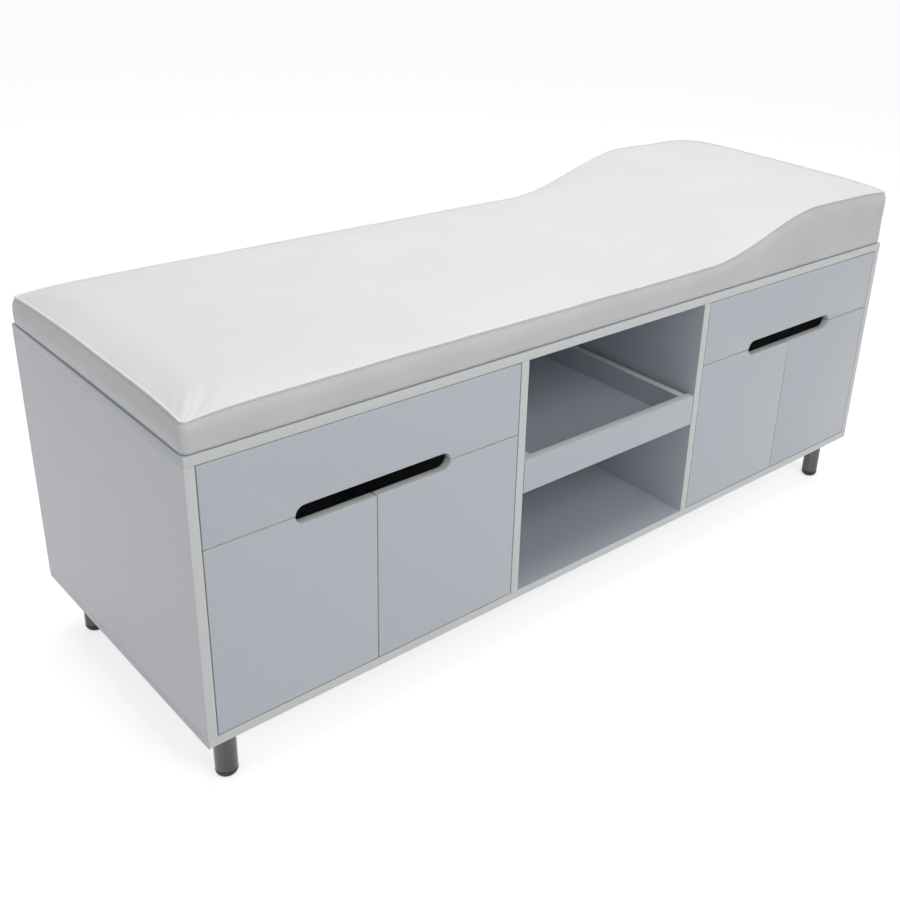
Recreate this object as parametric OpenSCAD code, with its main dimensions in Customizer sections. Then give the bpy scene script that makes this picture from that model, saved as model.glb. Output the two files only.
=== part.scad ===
// Spa bed with a cabinet base: padded top, two drawers, four doors, a pull-out tray and four legs.
// The origin is on the floor under the middle of the bed. +X runs to the head end, +Y to the back, +Z up.

/* [Cabinet] */
// Length of the cabinet
body_l = 1850; // [1500:10:2200]
// Depth of the cabinet, front to back
body_d = 640; // [600:10:800]
// Height of the cabinet without its legs
body_h = 540; // [460:5:680]
// Thickness of the coated boards
board_t = 18; // [16:0.5:22]
// Clear width of the open middle bay
middle_w = 500; // [400:10:620]
// Thickness of the back panel
back_t = 8; // [4:0.5:12]
// Distance from the back edges to the back panel
back_inset = 10; // [6:1:20]
// Depth of the grooves that hold the back panel
groove_depth = 7; // [4:0.5:8]
// Thickness of the edge banding
band_t = 1; // [0.5:0.1:2]

/* [Fronts] */
// Gap between a front and the boards round it
front_gap = 2; // [1.5:0.1:3]
// Gap between two fronts
mid_gap = 2.5; // [1.5:0.1:4]
// Height of a drawer front
drawer_front_h = 144; // [130:1:180]
// Length of a finger slot
slot_l = 316; // [160:1:400]
// Height of a finger slot
slot_h = 35; // [24:1:44]

/* [Drawers and tray] */
// Height of a drawer box
box_h = 106; // [70:1:110]
// Depth of the drawer boxes and of the tray behind its front
box_d = 550; // [450:10:560]
// Thickness of the drawer box boards
box_t = 15; // [12:0.5:18]
// Thickness of a drawer's bottom sheet
box_bottom_t = 4; // [3:0.5:6]
// Height of the tray
tray_h = 70; // [55:1:110]
// Height of the tray's underside over the bottom panel
tray_lift = 223; // [150:1:260]
// Width of one side slide, from board to box
slide_t = 13; // [12.7:0.1:14]
// Height of a slide
slide_h = 45; // [36:1:50]
// Length of a slide
slide_l = 550; // [450:10:550]

/* [Legs] */
// Height of the legs, floor to cabinet
leg_h = 120; // [90:5:180]
// Outer diameter of the leg tubes
leg_d = 40; // [32:1:60]
// Wall of the leg tubes
leg_wall = 1.5; // [1:0.1:3]
// Distance from the cabinet's edges to a leg's axis
leg_inset = 55; // [45:1:90]
// Height of a foot below its tube
foot_h = 17; // [12:1:25]

/* [Pad] */
// Height of the pad's seam over the cabinet at the foot end
pad_h = 57; // [45:1:90]
// How much higher the head end is
head_rise = 77; // [40:1:110]
// Distance from the head end to the foot of the rise
rise_start = 660; // [560:10:760]
// Length of the rise along the bed
rise_l = 370; // [250:10:450]
// How far the middle swells over the seam
pad_crown = 6; // [2:1:12]
// Corner radius of the pad, seen from above
pad_corner = 20; // [16:1:50]
// Thickness of the plywood board under the foam
pad_board_t = 12; // [9:1:18]

/* [Hidden] */
$fn = 64;
overrun = 1;

board_colour = [0.78, 0.79, 0.82];
band_colour = [0.82, 0.84, 0.83];
sheet_colour = [0.80, 0.80, 0.80];
steel_colour = [0.62, 0.62, 0.62];
screw_colour = [0.75, 0.75, 0.70];
rubber_colour = [0.06, 0.06, 0.06];
cover_colour = [0.90, 0.91, 0.92];
foam_colour = [0.95, 0.90, 0.70];
wood_colour = [0.80, 0.68, 0.48];

// Main planes
half_l = body_l / 2;
front_y = -body_d / 2;
back_y = body_d / 2;
base_z = leg_h;
top_z = leg_h + body_h;
inner_z0 = base_z + board_t;
inner_z1 = top_z - board_t;
back_panel_y1 = back_y - back_inset;
back_panel_y0 = back_panel_y1 - back_t;
side_x = half_l - board_t;
divider_x = middle_w / 2;
bay_w = side_x - divider_x - board_t;
bay_x = side_x - bay_w / 2;

// A loose fit for boards and screws that are let into each other
fit_gap = 0.1;
// Running clearance of a pin in its bore, on the radius
run_gap = 0.05;

// Where the drawer fronts meet the doors
joint_z = inner_z1 - front_gap - drawer_front_h - mid_gap / 2;
door_z0 = inner_z0 + front_gap;
door_z1 = joint_z - mid_gap / 2;
door_w = (bay_w - 2 * front_gap - mid_gap) / 2;

// Confirmat screws of the cabinet
screw_l = 50;
screw_d = 7;
screw_head_d = 10;
screw_head_h = 3;
screw_edge = 60;
upright_x = [-half_l + board_t / 2, -divider_x - board_t / 2, divider_x + board_t / 2, half_l - board_t / 2];
screw_y = [front_y + screw_edge, 0, back_panel_y0 - screw_edge];

module confirmat(gap = 0) {
  translate([0, 0, -screw_l - gap])
    cylinder(d = screw_d + 2 * gap, h = screw_l + gap);
  translate([0, 0, -screw_head_h - gap])
    cylinder(d = screw_head_d + 2 * gap, h = screw_head_h + gap);
}

// The screws go down through the top panel and up through the bottom panel
module at_cabinet_screws() {
  for (x = upright_x, y = screw_y) {
    translate([x, y, top_z])
      children();
    translate([x, y, base_z])
      mirror([0, 0, 1])
        children();
  }
}

// Room for the back panel in the boards round it
module back_groove() {
  groove_l = 2 * side_x + 2 * groove_depth;
  groove_h = inner_z1 - inner_z0 + 2 * groove_depth;
  translate([-groove_l / 2, back_panel_y0 - fit_gap, inner_z0 - groove_depth])
    cube([groove_l, back_t + 2 * fit_gap, groove_h]);
}

// Screws that hold the pad board, from below the top panel
pad_screw_l = 27;
pad_screw_d = 4.5;
pad_screw_head_d = 9;
pad_screw_head_h = 2.5;
pad_screw_x = bay_w / 3;
pad_screw_y = body_d / 3;

module at_pad_screws() {
  for (s = [-1, 1], dx = [-pad_screw_x, pad_screw_x], y = [-pad_screw_y, pad_screw_y])
    translate([s * bay_x + dx, y, inner_z1])
      children();
}

module pad_screw() {
  cylinder(d = pad_screw_d, h = pad_screw_l);
  translate([0, 0, -pad_screw_head_h])
    cylinder(d = pad_screw_head_d, h = pad_screw_head_h);
}

module pad_screw_bore() {
  translate([0, 0, -overrun])
    cylinder(d = pad_screw_d + 2 * fit_gap, h = pad_screw_l + overrun + 2 * fit_gap);
}

module flat_board(z) {
  difference() {
    translate([-half_l + band_t, front_y + band_t, z])
      cube([body_l - 2 * band_t, body_d - band_t, board_t]);
    back_groove();
    at_cabinet_screws()
      confirmat(fit_gap);
    children();
  }
}

module top_panel() {
  color(board_colour)
    flat_board(inner_z1)
      at_pad_screws()
        pad_screw_bore();
}

module bottom_panel() {
  color(board_colour)
    flat_board(base_z)
      at_legs()
        leg_screw_bores();
}

module upright_board(x, y1) {
  color(board_colour)
    difference() {
      translate([x - board_t / 2, front_y + band_t, inner_z0])
        cube([board_t, y1 - front_y - band_t, inner_z1 - inner_z0]);
      back_groove();
      at_cabinet_screws()
        confirmat(fit_gap);
      hinge_board_bores();
    }
}

module left_side_panel() {
  upright_board(upright_x[0], back_y);
}

module right_side_panel() {
  upright_board(upright_x[3], back_y);
}

module left_divider() {
  upright_board(upright_x[1], back_panel_y0);
}

module right_divider() {
  upright_board(upright_x[2], back_panel_y0);
}

module back_panel() {
  color(sheet_colour)
    translate([-side_x - groove_depth + fit_gap, back_panel_y0, inner_z0 - groove_depth + fit_gap])
      cube([
        2 * (side_x + groove_depth - fit_gap),
        back_t,
        inner_z1 - inner_z0 + 2 * (groove_depth - fit_gap)
      ]);
}

// Strips on the front edges of all boards and on both ends of the top and bottom panels
module edge_bands() {
  color(band_colour) {
    for (z = [base_z, inner_z1])
      translate([-half_l + band_t + fit_gap, front_y, z])
        cube([body_l - 2 * (band_t + fit_gap), band_t, board_t]);
    for (x = upright_x)
      translate([x - board_t / 2, front_y, inner_z0 + fit_gap])
        cube([board_t, band_t, inner_z1 - inner_z0 - 2 * fit_gap]);
    for (s = [0, 1], z = [base_z, inner_z1])
      mirror([s, 0, 0])
        translate([half_l - band_t, front_y, z])
          cube([band_t, body_d, board_t]);
  }
}

module cabinet_screws() {
  color(screw_colour)
    at_cabinet_screws()
      confirmat();
}

// Ball-bearing slides: a fixed outer member, a middle member and an inner member on the box.
// A slide's own frame has the board's face at x = 0 and the box at x = slide_t.
slide_steel = 1.2;
slide_gap = 0.5;
ball_gap = 0.9;
outer_depth_share = 0.72;
middle_h = slide_h - 2 * slide_steel - 2 * ball_gap;
inner_h = middle_h - 2 * slide_steel - 2 * ball_gap;
slide_y0 = front_y + board_t + fit_gap;
slide_y1 = slide_y0 + slide_l;

// A channel along Y with its back at x = 0 and its legs towards +X
module channel(height, depth, steel, length) {
  difference() {
    translate([0, 0, -height / 2])
      cube([depth, length, height]);
    translate([steel, -overrun, -height / 2 + steel])
      cube([depth, length + 2 * overrun, height - 2 * steel]);
  }
}

module slide_outer() {
  channel(slide_h, slide_t * outer_depth_share, slide_steel, slide_l);
}

module slide_middle() {
  translate([slide_steel + slide_gap, 0, 0])
    channel(middle_h, slide_t * outer_depth_share, slide_steel, slide_l);
}

module slide_inner() {
  reach = slide_t - 2 * slide_steel - 2 * slide_gap;
  translate([slide_t, 0, 0])
    mirror([1, 0, 0])
      channel(inner_h, reach, slide_steel, slide_l);
}

// Puts a slide part on both walls of a bay
module at_bay_walls(x, width, z) {
  for (s = [0, 1])
    translate([x, 0, 0])
      mirror([s, 0, 0])
        translate([-width / 2, slide_y0, z])
          children();
}

// Drawer box
box_w = bay_w - 2 * slide_t;
box_over_slot = 8;
box_bottom_lift = 10;
box_z0 = inner_z1 - front_gap - drawer_front_h + slot_h / 2 + box_over_slot;
box_y0 = front_y + board_t;
box_slide_z = box_z0 + box_h / 2;
box_groove = 6;
box_bottom_z = box_z0 + box_bottom_lift;

tray_z0 = inner_z0 + tray_lift;
tray_w = middle_w - 2 * slide_t;
tray_slide_z = tray_z0 + tray_h / 2;

module slide_outer_members() {
  color(steel_colour) {
    for (s = [-1, 1])
      at_bay_walls(s * bay_x, bay_w, box_slide_z)
        slide_outer();
    at_bay_walls(0, middle_w, tray_slide_z)
      slide_outer();
  }
}

// Outline of a finger slot, centred where two doors and their drawer front meet
module slot_outline() {
  reach = (slot_l - slot_h) / 2;
  square([2 * reach, slot_h], center = true);
  for (s = [-1, 1])
    translate([s * reach, 0])
      circle(d = slot_h);
}

// An upright board with its face in the front plane, from an outline in X and Z
module front_board() {
  translate([0, front_y + board_t, 0])
    rotate([90, 0, 0])
      linear_extrude(board_t)
        children();
}

front_screw_l = 30;
front_screw_d = 4;
front_screw_head_d = 9;
front_screw_head_h = 2.5;
front_screw_shares = [1 / 3, 3 / 4];

module at_front_screws() {
  for (x = [-box_w / 3, box_w / 3], share = front_screw_shares)
    translate([x, box_y0 + box_t, box_z0 + box_h * share])
      rotate([90, 0, 0])
        children();
}

module front_screw() {
  cylinder(d = front_screw_d, h = front_screw_l);
  translate([0, 0, -front_screw_head_h])
    cylinder(d = front_screw_head_d, h = front_screw_head_h);
}

module front_screw_bore() {
  translate([0, 0, -overrun])
    cylinder(d = front_screw_d + 2 * fit_gap, h = front_screw_l + overrun + fit_gap);
}

module drawer_front(s) {
  color(board_colour)
    translate([s * bay_x, 0, 0])
      difference() {
        front_board()
          difference() {
            translate([-bay_w / 2 + front_gap, joint_z + mid_gap / 2])
              square([bay_w - 2 * front_gap, drawer_front_h]);
            translate([0, joint_z])
              slot_outline();
          }
        at_front_screws()
          front_screw_bore();
      }
}

// The sheet that the box sides and ends are grooved for
module box_bottom(gap = 0) {
  reach = box_groove - fit_gap + gap;
  translate([
    -box_w / 2 + box_t - reach,
    box_y0 + box_t - reach,
    box_bottom_z - gap
  ])
    cube([
      box_w - 2 * box_t + 2 * reach,
      box_d - 2 * box_t + 2 * reach,
      box_bottom_t + 2 * gap
    ]);
}

module drawer_sides(s) {
  color(board_colour)
    translate([s * bay_x, 0, 0])
      difference() {
        for (m = [0, 1])
          mirror([m, 0, 0])
            translate([box_w / 2 - box_t, box_y0, box_z0])
              cube([box_t, box_d, box_h]);
        box_bottom(fit_gap);
      }
}

module drawer_ends(s) {
  color(board_colour)
    translate([s * bay_x, 0, 0])
      difference() {
        for (y = [box_y0, box_y0 + box_d - box_t])
          translate([-box_w / 2 + box_t, y, box_z0])
            cube([box_w - 2 * box_t, box_t, box_h]);
        box_bottom(fit_gap);
        at_front_screws()
          front_screw_bore();
      }
}

module drawer_bottom(s) {
  color(sheet_colour)
    translate([s * bay_x, 0, 0])
      box_bottom();
}

module drawer_slide_inners(s) {
  color(steel_colour)
    at_bay_walls(s * bay_x, bay_w, box_slide_z)
      slide_inner();
}

module drawer_slide_middles(s) {
  color(steel_colour)
    at_bay_walls(s * bay_x, bay_w, box_slide_z)
      slide_middle();
}

module drawer_screws(s) {
  color(screw_colour)
    translate([s * bay_x, 0, 0])
      at_front_screws()
        front_screw();
}

module left_drawer_front() {
  drawer_front(-1);
}

module left_drawer_sides() {
  drawer_sides(-1);
}

module left_drawer_ends() {
  drawer_ends(-1);
}

module left_drawer_bottom() {
  drawer_bottom(-1);
}

module left_drawer_slide_inners() {
  drawer_slide_inners(-1);
}

module left_drawer_slide_middles() {
  drawer_slide_middles(-1);
}

module left_drawer_screws() {
  drawer_screws(-1);
}

module right_drawer_front() {
  drawer_front(1);
}

module right_drawer_sides() {
  drawer_sides(1);
}

module right_drawer_ends() {
  drawer_ends(1);
}

module right_drawer_bottom() {
  drawer_bottom(1);
}

module right_drawer_slide_inners() {
  drawer_slide_inners(1);
}

module right_drawer_slide_middles() {
  drawer_slide_middles(1);
}

module right_drawer_screws() {
  drawer_screws(1);
}

// Tray in the middle bay, with its boards joined to the front by dowels
dowel_d = 8;
dowel_l = 30;
dowel_in_front = 12;
dowel_shares = [1 / 4, 3 / 4];

module at_tray_dowels() {
  for (s = [-1, 1], share = dowel_shares)
    translate([s * (tray_w - board_t) / 2, box_y0 - dowel_in_front, tray_z0 + tray_h * share])
      rotate([-90, 0, 0])
        children();
}

module dowel_bore() {
  translate([0, 0, -fit_gap])
    cylinder(d = dowel_d + 2 * fit_gap, h = dowel_l + 2 * fit_gap);
}

module tray_front() {
  color(board_colour)
    difference() {
      front_board()
        translate([-middle_w / 2 + front_gap, tray_z0])
          square([middle_w - 2 * front_gap, tray_h]);
      at_tray_dowels()
        dowel_bore();
    }
}

module tray_sides() {
  color(board_colour)
    difference() {
      for (m = [0, 1])
        mirror([m, 0, 0])
          translate([tray_w / 2 - board_t, box_y0, tray_z0])
            cube([board_t, box_d, tray_h]);
      at_tray_dowels()
        dowel_bore();
    }
}

module tray_back() {
  color(board_colour)
    translate([-tray_w / 2 + board_t, box_y0 + box_d - board_t, tray_z0])
      cube([tray_w - 2 * board_t, board_t, tray_h]);
}

module tray_bottom() {
  color(board_colour)
    translate([-tray_w / 2 + board_t, box_y0, tray_z0])
      cube([tray_w - 2 * board_t, box_d - board_t, board_t]);
}

module tray_slide_inners() {
  color(steel_colour)
    at_bay_walls(0, middle_w, tray_slide_z)
      slide_inner();
}

module tray_slide_middles() {
  color(steel_colour)
    at_bay_walls(0, middle_w, tray_slide_z)
      slide_middle();
}

module tray_dowels() {
  color(wood_colour)
    at_tray_dowels()
      cylinder(d = dowel_d, h = dowel_l);
}

// Doors. Each is [x of the board face it hangs on, direction it reaches in].
left_outer = [-side_x, 1];
left_inner = [-divider_x - board_t, -1];
right_inner = [divider_x + board_t, 1];
right_outer = [side_x, -1];
all_doors = [left_outer, left_inner, right_inner, right_outer];

// Puts a shape drawn from x = 0 at a door's hinge board, and the front plane at y = 0
module at_door(d) {
  translate([d[0], front_y, 0])
    mirror([d[1] < 0 ? 1 : 0, 0, 0])
      children();
}

// Concealed hinge. Its places are across from the hinge board and back from the front plane.
cup_d = 35;
cup_floor = 5.2;
cup_wall = 0.8;
cup_edge = 4;
cup_x = front_gap + cup_edge + cup_d / 2;
hinge_edge = 80;
hinge_z = [door_z0 + hinge_edge, door_z1 - hinge_edge];
cup_tab_l = 13;
cup_tab_w = 15;
cup_tab_t = 1.2;
cup_tab_root = 3;
cup_screw_d = 3.5;
cup_screw_l = 12;
cup_screw_head_d = 6.5;
cup_screw_head_h = 1.5;
cup_screw_z = 24;
arm_pin = [35.74, 18.6];
door_pin = [14.49, 10.08];
arm_knee = [17.06, 31.29];
link_bow = 6.12;
link_t = 3;
link_w = 6;
pin_d = 2.4;
eye_d = 4.6;
arm_t = 3.6;
arm_w = 11;
plate_y0 = 40;
plate_l = 40;
plate_t = 3;
plate_wing_y = 55;
plate_wing_h = 48;
plate_wing_w = 12;
plate_screw_z = 16;
plate_screw_d = 5;
plate_screw_l = 13;
plate_screw_head_d = 8;
plate_screw_head_h = 1.5;
arm_base_t = 9;
arm_base_l = 50;
ear_room = 14;

module at_hinges(d) {
  at_door(d)
    for (z = hinge_z)
      translate([0, 0, z])
        children();
}

// A bar with round ends between two points of the plan
module bar(a, b, width) {
  run = b - a;
  angle = atan2(run[1], run[0]);
  translate(a)
    rotate(angle) {
      translate([0, -width / 2])
        square([norm(run), width]);
      circle(d = width);
      translate([norm(run), 0])
        circle(d = width);
    }
}

module cup_bore() {
  translate([cup_x, board_t + overrun, 0])
    rotate([90, 0, 0])
      cylinder(d = cup_d + 2 * fit_gap, h = board_t + overrun - cup_floor);
}

module at_cup_screws() {
  for (s = [-1, 1])
    translate([cup_x, board_t + cup_tab_t, s * cup_screw_z])
      rotate([90, 0, 0])
        children();
}

module door(d) {
  color(board_colour)
    difference() {
      at_door(d)
        translate([0, board_t, 0])
          rotate([90, 0, 0])
            linear_extrude(board_t)
              difference() {
                translate([front_gap, door_z0])
                  square([door_w, door_z1 - door_z0]);
                translate([bay_w / 2, joint_z])
                  slot_outline();
              }
      at_hinges(d) {
        cup_bore();
        at_cup_screws()
          cylinder(d = cup_screw_d + 2 * fit_gap, h = cup_screw_l + 2 * fit_gap);
      }
    }
}

// Height of the cup's hollow at a distance from its middle, half of it
function cup_half(x) = sqrt(pow(cup_d / 2 - cup_wall, 2) - pow(x - cup_x, 2));

module hinge_cup() {
  difference() {
    union() {
      translate([cup_x, board_t, 0])
        rotate([90, 0, 0])
          cylinder(d = cup_d, h = board_t - cup_floor);
      for (s = [0, 1])
        mirror([0, 0, s])
          translate([cup_x - cup_tab_w / 2, board_t, cup_d / 2 - cup_tab_root])
            cube([cup_tab_w, cup_tab_t, cup_tab_l + cup_tab_root]);
    }
    translate([cup_x, board_t + overrun + cup_tab_t, 0])
      rotate([90, 0, 0])
        cylinder(d = cup_d - 2 * cup_wall, h = board_t + overrun + cup_tab_t - cup_floor - cup_wall);
    at_cup_screws()
      translate([0, 0, -overrun])
        cylinder(d = cup_screw_d + 2 * fit_gap, h = cup_screw_l + 2 * overrun);
  }
  translate([door_pin[0], door_pin[1], -cup_half(door_pin[0]) - cup_wall / 2])
    cylinder(d = pin_d, h = 2 * cup_half(door_pin[0]) + cup_wall);
}

// Its head stays a fit gap off the tab
module cup_screw() {
  translate([0, 0, -fit_gap])
    cylinder(d = cup_screw_d, h = cup_screw_l);
  translate([0, 0, -cup_screw_head_h - fit_gap])
    cylinder(d = cup_screw_head_d, h = cup_screw_head_h);
}

module hinge_cups(d) {
  color(steel_colour)
    at_hinges(d) {
      hinge_cup();
      at_cup_screws()
        cup_screw();
    }
}

// The link is bowed so that it clears the door's edge: two straight bars that meet at its knee
link_run = door_pin - arm_pin;
link_knee = (door_pin + arm_pin) / 2 + link_bow * [-link_run[1], link_run[0]] / norm(link_run);

module hinge_link() {
  translate([0, 0, -link_w / 2])
    linear_extrude(link_w)
      difference() {
        union() {
          bar(arm_pin, link_knee, link_t);
          bar(link_knee, door_pin, link_t);
          for (p = [arm_pin, door_pin])
            translate(p)
              circle(d = eye_d);
        }
        for (p = [arm_pin, door_pin])
          translate(p)
            circle(d = pin_d + 2 * run_gap);
      }
}

module hinge_links(d) {
  color(steel_colour)
    at_hinges(d)
      hinge_link();
}

// The arm sits on its plate, cranks forward and holds the link's pin between two ears
module hinge_arm() {
  difference() {
    union() {
      translate([0, 0, -arm_w / 2])
        linear_extrude(arm_w) {
          bar(arm_pin, arm_knee, arm_t);
          bar(arm_knee, [plate_t + arm_base_t / 2, plate_y0], arm_t);
        }
      translate([plate_t, plate_y0 - arm_t, -arm_w / 2])
        cube([arm_base_t, arm_base_l, arm_w]);
    }
    translate([0, 0, -link_w / 2 - 2 * fit_gap])
      linear_extrude(link_w + 4 * fit_gap)
        bar(arm_pin + [eye_d, 0], arm_knee, ear_room);
  }
  translate([arm_pin[0], arm_pin[1], -arm_w / 2])
    cylinder(d = pin_d, h = arm_w);
}

module hinge_arms() {
  color(steel_colour)
    for (d = all_doors)
      at_hinges(d)
        hinge_arm();
}

module at_plate_screws() {
  for (s = [-1, 1])
    translate([plate_t, plate_wing_y, s * plate_screw_z])
      rotate([0, -90, 0])
        children();
}

module plate_screw_bore() {
  translate([0, 0, -overrun])
    cylinder(d = plate_screw_d + 2 * fit_gap, h = plate_screw_l + overrun + fit_gap);
}

// Room in the hinge boards for the plate screws
module hinge_board_bores() {
  for (d = all_doors)
    at_hinges(d)
      at_plate_screws()
        plate_screw_bore();
}

module hinge_plate() {
  difference() {
    union() {
      translate([0, plate_y0, -arm_w])
        cube([plate_t, plate_l, 2 * arm_w]);
      translate([0, plate_wing_y - plate_wing_w / 2, -plate_wing_h / 2])
        cube([plate_t, plate_wing_w, plate_wing_h]);
    }
    at_plate_screws()
      plate_screw_bore();
  }
}

module hinge_screws() {
  color(screw_colour)
    for (d = all_doors)
      at_hinges(d)
        at_plate_screws() {
          cylinder(d = plate_screw_d, h = plate_screw_l);
          translate([0, 0, -plate_screw_head_h])
            cylinder(d = plate_screw_head_d, h = plate_screw_head_h);
        }
}

module hinge_plates() {
  color(steel_colour)
    for (d = all_doors)
      at_hinges(d)
        hinge_plate();
}

module left_outer_door() {
  door(left_outer);
}

module left_inner_door() {
  door(left_inner);
}

module right_inner_door() {
  door(right_inner);
}

module right_outer_door() {
  door(right_outer);
}

module left_outer_hinge_cups() {
  hinge_cups(left_outer);
}

module left_inner_hinge_cups() {
  hinge_cups(left_inner);
}

module right_inner_hinge_cups() {
  hinge_cups(right_inner);
}

module right_outer_hinge_cups() {
  hinge_cups(right_outer);
}

module left_outer_hinge_links() {
  hinge_links(left_outer);
}

module left_inner_hinge_links() {
  hinge_links(left_inner);
}

module right_inner_hinge_links() {
  hinge_links(right_inner);
}

module right_outer_hinge_links() {
  hinge_links(right_outer);
}

// Legs
leg_plate_rim = 13;
leg_plate_d = leg_d + 2 * leg_plate_rim;
leg_plate_t = 3;
leg_screw_d = 4.5;
leg_screw_l = 16;
leg_screw_head_d = 8.5;
leg_screw_head_h = 2.5;
leg_screw_r = (leg_d + leg_plate_rim) / 2;
leg_screw_count = 4;
plug_h = 20;
stem_d = 8;
stem_l = 34;
foot_flat_d = 22;
foot_round = 12;
foot_travel = 10;
leg_x = half_l - leg_inset;
leg_y = body_d / 2 - leg_inset;

module at_legs() {
  for (x = [-leg_x, leg_x], y = [-leg_y, leg_y])
    translate([x, y, 0])
      children();
}

module at_leg_screws() {
  for (k = [0 : leg_screw_count - 1])
    rotate(360 / leg_screw_count * (k + 1 / 2))
      translate([leg_screw_r, 0, leg_h - leg_plate_t])
        children();
}

module leg_screw_bores() {
  at_leg_screws()
    translate([0, 0, -overrun])
      cylinder(d = leg_screw_d + 2 * fit_gap, h = leg_screw_l + overrun + fit_gap);
}

module leg_plates() {
  color(steel_colour)
    at_legs()
      difference() {
        translate([0, 0, leg_h - leg_plate_t])
          cylinder(d = leg_plate_d, h = leg_plate_t);
        leg_screw_bores();
      }
}

module leg_screws() {
  color(screw_colour)
    at_legs()
      at_leg_screws() {
        cylinder(d = leg_screw_d, h = leg_screw_l);
        translate([0, 0, -leg_screw_head_h])
          cylinder(d = leg_screw_head_d, h = leg_screw_head_h);
      }
}

module leg_tubes() {
  color(steel_colour)
    at_legs()
      difference() {
        translate([0, 0, foot_h])
          cylinder(d = leg_d, h = leg_h - leg_plate_t - foot_h);
        translate([0, 0, foot_h - overrun])
          cylinder(d = leg_d - 2 * leg_wall, h = leg_h - leg_plate_t - foot_h + 2 * overrun);
      }
}

// Plastic plug in the end of each tube, bored for the foot's stem
module leg_plugs() {
  color(rubber_colour)
    at_legs()
      translate([0, 0, foot_h + fit_gap])
        difference() {
          cylinder(d = leg_d - 2 * leg_wall - 2 * fit_gap, h = plug_h);
          translate([0, 0, -overrun])
            cylinder(d = stem_d + 2 * run_gap, h = plug_h + 2 * overrun);
        }
}

module foot(x, y) {
  round_r = min(foot_round, foot_h - fit_gap);
  color(rubber_colour)
    translate([x, y, 0])
      rotate_extrude() {
        intersection() {
          union() {
            square([leg_d / 2 - round_r, foot_h]);
            translate([0, round_r])
              square([leg_d / 2, foot_h - round_r]);
            translate([leg_d / 2 - round_r, round_r])
              circle(r = round_r);
          }
          square([leg_d / 2, foot_h]);
        }
        translate([0, foot_h - fit_gap])
          square([stem_d / 2, stem_l + fit_gap]);
      }
}

module front_left_foot() {
  foot(-leg_x, -leg_y);
}

module front_right_foot() {
  foot(leg_x, -leg_y);
}

module back_left_foot() {
  foot(-leg_x, leg_y);
}

module back_right_foot() {
  foot(leg_x, leg_y);
}

// Pad: a plywood board, a foam core and a sewn cover that is drawn in round both
pad_inset = 9;
cover_top_t = 7;
long_steps = 32;
end_steps = 8;
corner_steps = 4;
// Smallest corner radius of an inner loop
tight_corner_share = 0.1;

// Smooth step from 0 to 1
function ease(t) = t <= 0 ? 0 : t >= 1 ? 1 : t * t * (3 - 2 * t);

// Height of the seam over the cabinet at a place along the bed
function seam_h(x) = pad_h + head_rise * ease((x - half_l + rise_start) / rise_l);

// One corner of a loop, as quarter turn q and step k, inset by d
function corner_point(q, k, d) =
  let (
    r = max(pad_corner - d, pad_corner * tight_corner_share),
    cx = half_l - d - r,
    cy = body_d / 2 - d - r,
    a = 90 * (q + k / corner_steps) - 90,
    sx = q < 2 ? 1 : -1,
    sy = q == 1 || q == 2 ? 1 : -1
  )
  [sx * cx + r * cos(a), sy * cy + r * sin(a)];

// A straight run between two points without its ends
function run_points(a, b, steps) = [for (i = [1 : steps - 1]) a + (b - a) * i / steps];

// One loop round the pad, seen from above, from the front right corner on
function loop_points(d) = [
  for (q = [0 : 3])
    each concat(
      [for (k = [0 : corner_steps]) corner_point(q, k, d)],
      run_points(
        corner_point(q, corner_steps, d),
        corner_point((q + 1) % 4, 0, d),
        q % 2 == 0 ? end_steps : long_steps
      )
    )
];

// Side of the pad, as [inset, height as a share of the seam's height]
side_share = [
  [0.55, 0], [0.14, 0.10], [0, 0.34], [0.06, 0.66], [0.28, 0.90], [0.62, 1.0]
];
// Top of the pad, as [inset as a share of half the depth, share of the crown]
crown_share = [[0.06, 0.42], [0.14, 0.66], [0.28, 0.85], [0.55, 0.97]];
// The top closes on a ridge, this far in from each end as a share of half the depth
ridge_share = 0.9;

// Heights of the outer surface, loop by loop from the lower edge up
outer_loops = concat(
  [for (s = side_share) [for (p = loop_points(s[0] * pad_inset))
    [p[0], p[1], top_z + s[1] * seam_h(p[0])]]],
  [for (c = crown_share) [for (p = loop_points(c[0] * body_d / 2))
    [p[0], p[1], top_z + seam_h(p[0]) + c[1] * pad_crown]]]
);
// Points from the start of one end's first corner to the end of its second
end_run = 2 * corner_steps + end_steps;
loop_n = 2 * (end_run + long_steps);

// Upright wall of the foam and of the hollow round it, from a height up to the underside of the cover
function core_loops(z) = [
  [for (p = loop_points(pad_inset)) [p[0], p[1], z]],
  [for (p = loop_points(pad_inset)) [p[0], p[1], top_z + seam_h(p[0]) - cover_top_t]]
];

// Places along the middle of the line on which a loop closes
ridge_x = [for (k = [0 : long_steps]) (half_l - ridge_share * body_d / 2) * (1 - 2 * k / long_steps)];

// That line, this far over the seam
function ridge_points(rise) = [for (x = ridge_x) [x, 0, top_z + seam_h(x) + rise]];

// Two triangles between neighbours a and b of one row and c and e above them
function wall_pair(a, b, c, e) = [[a, c, e], [a, e, b]];

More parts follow.
